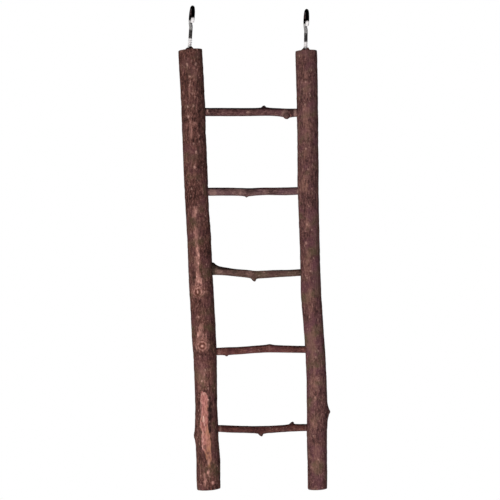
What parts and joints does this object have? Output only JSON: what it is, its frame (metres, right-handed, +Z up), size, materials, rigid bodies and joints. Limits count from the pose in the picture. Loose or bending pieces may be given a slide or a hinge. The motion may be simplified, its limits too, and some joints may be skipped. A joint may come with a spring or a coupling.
{
  "type": "bird ladder",
  "caption": "Hanging ladder for a bird cage: natural branch rails with the bark on, joined by tenoned twig rungs, with an open screw hook in the top of each rail.",
  "frame": {"origin": "halfway between the undersides of the two hooks' crowns, where the ladder hangs on a level wire or cage bar", "axes": "+X along the hanging wire to the right as seen from the front, +Y to the back, +Z up"},
  "size_m": [0.0838, 0.0146, 0.266],
  "materials": {
    "rail_bark": "matte",
    "twig_bark": "matte",
    "hook_steel": "gloss"
  },
  "bodies": {
    "root": {"left_rail": "rail_bark", "right_rail": "rail_bark", "rung_1": "twig_bark", "rung_2": "twig_bark", "rung_3": "twig_bark", "rung_4": "twig_bark", "rung_5": "twig_bark", "left_hook": "hook_steel", "right_hook": "hook_steel"}
  },
  "joints": []
}
